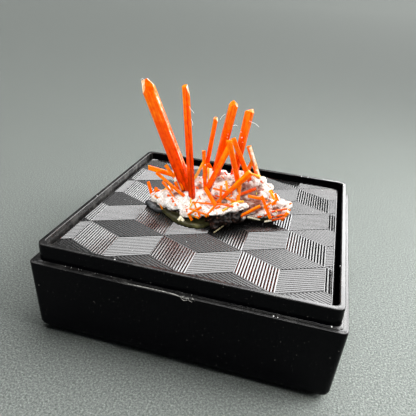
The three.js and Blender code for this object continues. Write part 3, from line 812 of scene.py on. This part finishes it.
def prism(tip, foot, width, thick, chance, roll=0.4, bevel=0.2, ends=CHISEL, bruise_and_painted_light=(), narrow=1.0,
          root=ROOT_DEPTH):
    """One crystal: its section drawn out, cut to its end faces, marked pale for bruises and painted
    highlights and darker partly as painted shade, and set on its axis, with its own x to the left and
    its own y to the front."""
    top, low = Vector(tip), Vector(foot)
    axis = (top - low).normalized()
    bottom = low - axis * root
    length = (top - bottom).length
    cut = bevel * min(width, thick)
    bm = drawn_out(section_points(width / 2, thick / 2, cut, roll, chance), length, narrow)
    marks = []
    for direction, slope, drop, bruise_and_light_amount in ends:
        flat, rise = math.sin(slope), math.cos(slope)
        normal = Vector((flat * math.cos(direction), flat * math.sin(direction), rise))
        marks.append((normal, SAME_FACE, bruise_and_light_amount))
        cut_end(bm, normal, length - drop * width)
    bmesh.ops.recalc_face_normals(bm, faces=bm.faces)
    for direction, spread, bruise_and_light_amount in bruise_and_painted_light:
        marks.append((Vector((math.cos(direction), math.sin(direction), 0)), math.cos(spread), bruise_and_light_amount))
    # pale marks: bruises and painted highlights; below 0, painted shade
    paint = bm.faces.layers.float.new("bruise_and_painted_light")
    for face in bm.faces:
        high = smoothstep(-0.1, 0.4, face.calc_center_median().z / length)
        for normal, near, bruise_and_light_amount in marks:
            if face.normal.dot(normal) > near:
                face[paint] = high * bruise_and_light_amount
    grain = bm.verts.layers.float_vector.new("grain")
    for vert in bm.verts:  # drawn out along the axis, so that a noise on it streaks lengthwise
        vert[grain] = Vector((vert.co.x, vert.co.y, vert.co.z / GRAIN_STRETCH)) + low
    side = Vector((0, -1, 0)).cross(axis).normalized()
    place = Matrix((side, axis.cross(side), axis)).transposed().to_4x4()
    place.translation = bottom
    bmesh.ops.transform(bm, matrix=place, verts=bm.verts)
    return bm


def crystals():
    """One piece for each crystal of the CAD, with the small ones that are grown against it."""
    for number, (name, group) in enumerate(CRYSTALS.items()):
        parts = [prism(**shape, chance=random.Random(10 * number + i)) for i, shape in enumerate(group)]
        piece(name + "_grown", joined(parts), ORANGE, [name])


NEEDLES = [  # tip, foot, width, colour
    [(-17.3, 0.6, 22.6), (-16.1, 0.0, 19.7), 0.7, "orange"],
    [(-15.4, 0.8, 21.4), (-15.6, 0.1, 19.7), 0.6, "red"],
    [(-15.1, 0.2, 21.6), (-14.7, -1.0, 20.4), 0.55, "orange"],
    [(-14.2, -0.2, 21.5), (-15.1, -0.9, 20.3), 0.5, "red"],
    [(-14.8, -1.6, 20.5), (-13.9, -2.2, 20.2), 0.4, "orange"],
    [(-12.7, -3.7, 19.9), (-12.3, -3.9, 19.2), 0.4, "orange"],
    [(-11.4, -2.6, 21.7), (-10.1, -3.3, 21.2), 0.5, "red"],
    [(-11.0, -2.3, 22.6), (-9.0, -3.7, 21.2), 0.45, "orange"],
    [(-10.0, -3.9, 21.8), (-9.6, -4.2, 21.4), 0.5, "red"],
    [(-10.8, 0.2, 25.0), (-9.4, -0.5, 23.0), 0.5, "rose"],
    [(-10.2, 0.4, 25.6), (-8.9, -0.3, 23.2), 0.6, "orange"],
    [(-10.4, -0.5, 24.3), (-9.7, -0.9, 23.2), 0.7, "orange"],
    [(-5.4, 4.6, 28.0), (-6.8, 3.0, 24.3), 0.6, "amber"],
    [(-3.4, 0.9, 28.3), (-2.6, 0.0, 24.4), 0.5, "amber"],
    [(-2.8, 1.0, 28.2), (-2.4, 0.0, 24.4), 0.6, "rose"],
    [(-2.1, 0.9, 27.7), (-2.3, 0.0, 24.4), 0.5, "rose"],
    [(-3.2, -1.0, 24.2), (-0.3, -3.8, 22.3), 0.9, "orange"],
    [(0.6, -2.3, 26.0), (0.9, -3.2, 22.3), 0.5, "orange"],
    [(-1.4, -1.4, 24.6), (2.2, -1.6, 24.4), 0.4, "orange"],
    [(1.0, 0.3, 26.2), (1.8, -0.8, 24.0), 0.5, "amber"],
    [(-4.9, -5.2, 22.2), (2.4, -5.0, 23.0), 0.4, "orange"],
    [(0.5, -5.4, 22.8), (-0.6, -7.4, 21.4), 0.45, "orange"],
    [(-4.9, -7.0, 21.6), (-1.1, -7.7, 21.3), 0.4, "orange"],
    [(-4.6, -5.0, 22.4), (-2.6, -7.5, 21.0), 0.4, "orange"],
    [(-2.3, -6.6, 22.3), (-4.2, -7.3, 20.9), 0.45, "orange"],
    [(-5.0, -7.3, 20.5), (-4.5, -7.4, 19.9), 0.6, "orange"],
    [(-3.6, -7.2, 20.1), (-3.0, -7.6, 20.2), 0.4, "orange"],
    [(3.9, 1.4, 25.6), (4.3, -1.2, 23.2), 0.85, "orange"],
    [(7.6, 1.8, 24.9), (3.7, -0.8, 23.4), 0.6, "red"],
    [(1.9, -2.8, 23.5), (4.2, -2.5, 22.9), 0.5, "orange"],
    [(5.8, -2.3, 23.2), (3.9, -2.6, 22.8), 0.45, "amber"],
    [(3.9, -4.0, 22.9), (2.6, -6.0, 22.4), 0.35, "amber"],
    [(1.7, -5.2, 23.0), (3.5, -5.1, 22.9), 0.35, "red"],
    [(-1.4, -2.5, 23.3), (-0.8, -2.2, 22.9), 0.35, "red"],
    [(-0.6, -2.2, 23.4), (0.2, -1.9, 23.1), 0.35, "red"],
    [(6.1, 0.4, 23.4), (9.1, 0.3, 23.4), 0.7, "orange"],
    [(9.2, -0.6, 24.5), (11.5, -2.1, 21.0), 0.65, "orange"],
    [(9.4, -1.5, 22.5), (6.4, -3.7, 20.9), 0.65, "orange"],
    [(7.9, 4.6, 26.5), (5.8, 4.2, 27.0), 0.75, "amber"],
    [(10.4, 2.9, 24.6), (11.4, 2.4, 23.3), 0.6, "amber"],
    [(11.7, 3.0, 23.9), (12.3, 2.6, 23.1), 0.5, "orange"],
    [(12.4, 1.6, 23.2), (11.8, 1.0, 22.4), 0.5, "orange"],
    [(11.4, 0.7, 22.7), (10.6, -0.5, 22.3), 0.45, "orange"],
    [(15.0, 1.0, 21.8), (12.6, -0.9, 21.6), 0.4, "red"],
    [(14.7, 0.0, 20.8), (12.5, -1.3, 20.4), 0.4, "red"],
    [(15.3, 0.5, 21.2), (14.6, 0.0, 20.1), 0.7, "orange"],
    [(14.9, -0.4, 20.2), (13.0, -1.2, 19.8), 0.45, "red"],
    [(11.8, -0.7, 20.8), (9.9, -1.9, 20.3), 0.5, "red"],
]
SPRINKLED = 42  # more small crystals lying about on the crust
CLEAN_CRUST_X = -6.0  # few of them lie to the left of this
NEEDLE_FLATNESS = 0.85  # a needle's thickness for its width


def sprinkled(seats, chance):
    """Small crystals on the crust, each with its tip, foot, width and colour, as in NEEDLES."""
    made = []
    while len(made) < SPRINKLED:
        place, normal = chance.choice(seats)
        lean = Vector([chance.uniform(-1, 1) for _ in range(3)]) + 0.3 * normal
        keep = place.x > CLEAN_CRUST_X or chance.random() < 0.15
        reach = lean.normalized() * chance.uniform(0.4, 1.1)
        width = chance.uniform(0.2, 0.36)
        colour = chance.choice(("orange", "orange", "orange", "red", "amber"))
        if keep:
            made.append([place + reach, place - 0.3 * reach, width, colour])
    return made


def needles(seats):
    """The needles and the sprinkled small crystals, one piece for each colour."""
    chance = random.Random(7)
    finishes = {"orange": THIN, "red": SHADED_RED, "amber": AMBER, "rose": ROSE}
    every = NEEDLES + sprinkled(seats, random.Random(11))
    for colour, finish in finishes.items():
        parts = [prism(tip, foot, width, NEEDLE_FLATNESS * width, chance, root=min(0.9, 2 * width))
                 for tip, foot, width, own in every if own == colour]
        piece(f"needles_{colour}", joined(parts), finish, ["matrix"])


# A splinter of ochre clay in front, two chalky edges under the crust, and a loose chip in two parts.
SLIVERS = [  # tip, foot, width, thickness, finish
    [(1.3, -9.1, 18.15), (2.8, -6.6, 18.9), 0.26, 0.22, "ochre"],
    [(7.0, -3.0, 20.1), (9.4, -1.9, 19.4), 0.35, 0.3, "chalk"],
    [(10.7, -2.0, 19.2), (13.4, -0.3, 19.4), 0.35, 0.3, "chalk"],
    [(-6.9, -7.3, 19.4), (-6.0, -7.7, 18.9), 0.7, 0.45, "chalk"],
    [(-6.2, -7.4, 19.3), (-6.7, -7.8, 18.9), 0.7, 0.5, "chalk"],
]


def slivers():
    """The slips of clay, made as small prisms, one piece for each finish."""
    for finish, given in (("ochre", OCHRE), ("chalk", CHALK)):
        parts = [prism(tip, foot, width, thick, random.Random(5), root=0.3)
                 for tip, foot, width, thick, own in SLIVERS if own == finish]
        piece(f"clay_slivers_{finish}", joined(parts), given, ["matrix"])


# ---------- dust and lint ----------
FIBRES = [  # the places each one runs through
    [(-7.7, -1.6, 41.9), (-7.3, -1.8, 41.4), (-6.8, -2.0, 41.1), (-6.4, -2.0, 40.7)],
    [(-6.9, -2.2, 39.4), (-6.5, -2.4, 38.9), (-6.4, -2.5, 38.2)],
    [(3.9, 3.6, 39.2), (4.8, 3.5, 38.9), (5.5, 3.4, 38.8), (6.3, 3.4, 38.2)],
    [(-19.6, 1.6, 45.2), (-19.1, 1.4, 45.6), (-18.5, 1.2, 45.3)],
    [(1.0, 2.2, 38.0), (1.6, 2.0, 38.3), (2.0, 1.9, 38.2)],
    [(-0.9, 2.4, 40.2), (-1.5, 2.2, 39.6), (-1.8, 2.1, 39.0)],
]
FIBRE_RADIUS = 0.035
SPECKS = [  # centre and radius
    [(-12.1, -27.6, 19.65), 0.14], [(-27.2, -5.5, 19.65), 0.12], [(26.3, -28.05, 16.15), 0.17],
    [(16.9, -28.7, 16.1), 0.14], [(17.6, -28.75, 16.1), 0.11], [(27.2, 25.4, 19.65), 0.13],
    [(26.95, -13.8, 19.1), 0.14], [(16.2, 26.9, 19.65), 0.13], [(17.9, 27.0, 19.65), 0.13],
    [(3.0, 3.2, 35.4), 0.13], [(3.3, 3.2, 34.4), 0.1], [(2.7, 3.2, 36.6), 0.12], [(0.1, 2.3, 36.0), 0.1],
    [(0.0, 2.3, 35.3), 0.1], [(-0.8, 2.7, 38.4), 0.12], [(-3.7, -0.6, 29.4), 0.14],
    [(-11.0, -0.4, 26.4), 0.12],
]
DUST_ON_DECK = 60
DUST_DECK_HALF = 26
DUST_ON_LEDGE = 9
DUST_LEDGE_Y = -28.05  # against the lip


def dust():
    """The fibres, the specks that stand out, and a scatter of fine dust on the insert and ledge."""
    bm = bmesh.new()
    for points in FIBRES:
        tube(bm, points, FIBRE_RADIUS)
    specks = [(Vector(centre), radius) for centre, radius in SPECKS]
    chance = random.Random(23)
    for _ in range(DUST_ON_DECK):
        x = chance.uniform(-DUST_DECK_HALF, DUST_DECK_HALF)
        y = chance.uniform(-DUST_DECK_HALF, DUST_DECK_HALF)
        specks.append((Vector((x, y, DECK_Z + 0.05)), chance.uniform(0.03, 0.06)))
    for _ in range(DUST_ON_LEDGE):
        place = Vector((chance.uniform(-23, 3), DUST_LEDGE_Y, LEDGE_Z + 0.05))
        specks.append((place, chance.uniform(0.03, 0.05)))
    for centre, radius in specks:
        radii = Vector([radius * chance.uniform(0.6, 1.2) for _ in range(3)])
        bmesh.ops.create_icosphere(bm, subdivisions=1, radius=1.0,
                                   matrix=Matrix.LocRotScale(centre, None, radii))
    piece("dust", bm, LINT)


# ---------- floor, light and camera ----------
FLOOR_HALF = 5000
FLOOR_FRONT, FLOOR_BACK = -4000, 2400
SLOPE_BACK, SLOPE_RISE, SLOPE_ROUND = 6000, 420, 400


def textured_paper():
    """Grey-green textured paper: matt, with fine flecks that a low light picks out."""
    made, tree, sockets, place = material("paper_textured", {"Roughness": 0.95, "Specular IOR Level": 0.1})
    flecks = add_node(tree, NOISE, grain_of(0.38, 4.0, 0.8), {"Vector": place})
    add_node(tree, RAMP, links={"Fac": flecks}, feeds=sockets["Base Color"],
             stops=[(0.3, "#3A3D3A"), (0.5, "#5A5E5B"), (0.7, "#828682")])
    add_node(tree, BUMP, {"Distance": 0.12 * MM}, {"Height": flecks}, feeds=sockets["Normal"])
    return made


def paper_floor():
    """A pale paper floor, rising gently far behind the box."""
    bm = bmesh.new()
    bmesh.ops.create_grid(bm, x_segments=1, y_segments=1, size=FLOOR_HALF)
    for vert in bm.verts:
        vert.co.y = FLOOR_BACK if vert.co.y > 0 else FLOOR_FRONT
    back = [edge for edge in bm.edges if all(vert.co.y > 0 for vert in edge.verts)]
    made = bmesh.ops.extrude_edge_only(bm, edges=back)["geom"]
    slope = [part for part in made if isinstance(part, bmesh.types.BMVert)]
    bmesh.ops.translate(bm, vec=(0, SLOPE_BACK - FLOOR_BACK, SLOPE_RISE), verts=slope)
    bmesh.ops.bevel(bm, geom=back, offset=SLOPE_ROUND, segments=12, profile=0.5, affect="EDGES",
                    material=-1)
    bmesh.ops.scale(bm, vec=Vector((MM,) * 3), verts=bm.verts)
    for face in bm.faces:
        face.smooth = True
    mesh = bpy.data.meshes.new("floor")
    bm.to_mesh(mesh)
    bm.free()
    mesh.materials.append(textured_paper())
    floor = bpy.data.objects.new("floor", mesh)
    scene.collection.objects.link(floor)
    return floor


LAMPS = {  # azimuth, elevation, width, height, radiance, distance
    "window": (27, 34, 47, 30, 10.5, 9000),
    "ceiling": (20, 74, 46, 38, 7.4, 9000),
    "side": (70, 12, 24, 16, 6.0, 9000),
    "left": (-45, 54, 30, 22, 2.5, 9000),
    "fill": (203, 26, 45, 36, 7.6, 9000),
    "near": (85, 45, 30, 30, 3.0, 420),
    "floor_wash": (86, 38, 44, 40, 16.0, 200),
}
ROOM_LIGHT = 0.1  # a faint even light from all round


def soft_light(name, azimuth, elevation, width, height, radiance, distance):
    """A rectangular lamp, distance mm away at an azimuth from +Y towards +X. Its width and height are
    what it spans as seen from the box, in degrees, and radiance is how bright it is all over."""
    azimuth, elevation = math.radians(azimuth), math.radians(elevation)
    away = Vector((math.sin(azimuth) * math.cos(elevation), math.cos(azimuth) * math.cos(elevation),
                   math.sin(elevation)))
    lamp = bpy.data.lights.new(name, "AREA")
    lamp.shape = "RECTANGLE"
    lamp.size, lamp.size_y = (2 * distance * MM * math.tan(math.radians(span) / 2)
                              for span in (width, height))
    lamp.energy = radiance * math.pi * lamp.size * lamp.size_y
    holder = bpy.data.objects.new(name, lamp)
    holder.location = away * distance * MM
    holder.rotation_euler = (-away).to_track_quat("-Z", "Y").to_euler()
    scene.collection.objects.link(holder)
    return holder


def tie_to_floor(lamp, floor, state):
    """Makes a lamp light the floor alone with INCLUDE, or all but the floor with EXCLUDE."""
    lit = bpy.data.collections.new("lit_by_" + lamp.name)
    lamp.light_linking.receiver_collection = lit
    lit.objects.link(floor)
    lit.collection_objects[0].light_linking.link_state = state


def lights(floor):
    """A large window behind the box, weaker lamps round it, and three that no gloss mirrors."""
    lamps = {name: soft_light(name, *numbers) for name, numbers in LAMPS.items()}
    for name in ("fill", "near", "floor_wash"):
        lamps[name].visible_glossy = False
    tie_to_floor(lamps["fill"], floor, "EXCLUDE")
    tie_to_floor(lamps["floor_wash"], floor, "INCLUDE")
    world = bpy.data.worlds.new("room")
    world.use_nodes = True
    world.node_tree.nodes["Background"].inputs["Color"].default_value = linear("#BFC4C8")
    world.node_tree.nodes["Background"].inputs["Strength"].default_value = ROOM_LIGHT
    scene.world = world


LENS = 39.14  # for a frame 36 mm wide
CAMERA_PLACE = (18.943, -89.161, 64.709)
CAMERA_LOOK = (-0.2092, 0.8699, -0.4467)
CAMERA_TILT = math.radians(4.316)


def camera():
    """A close view from the front, a little to the right, slightly tilted."""
    lens = bpy.data.cameras.new("camera")
    lens.lens = LENS
    lens.clip_start = 5 * MM
    holder = bpy.data.objects.new("camera", lens)
    holder.location = Vector(CAMERA_PLACE) * MM
    tilt = Quaternion((0, 0, 1), CAMERA_TILT)
    holder.rotation_euler = (Vector(CAMERA_LOOK).to_track_quat("-Z", "Y") @ tilt).to_euler()
    scene.collection.objects.link(holder)
    scene.camera = holder


scene.view_settings.view_transform = "Standard"
camera()
lights(paper_floor())
box_shell()
torn_flash()
insert_body()
tumbling_blocks()
putty()
needle_seats = matrix_rock()
crystals()
needles(needle_seats)
slivers()
dust()
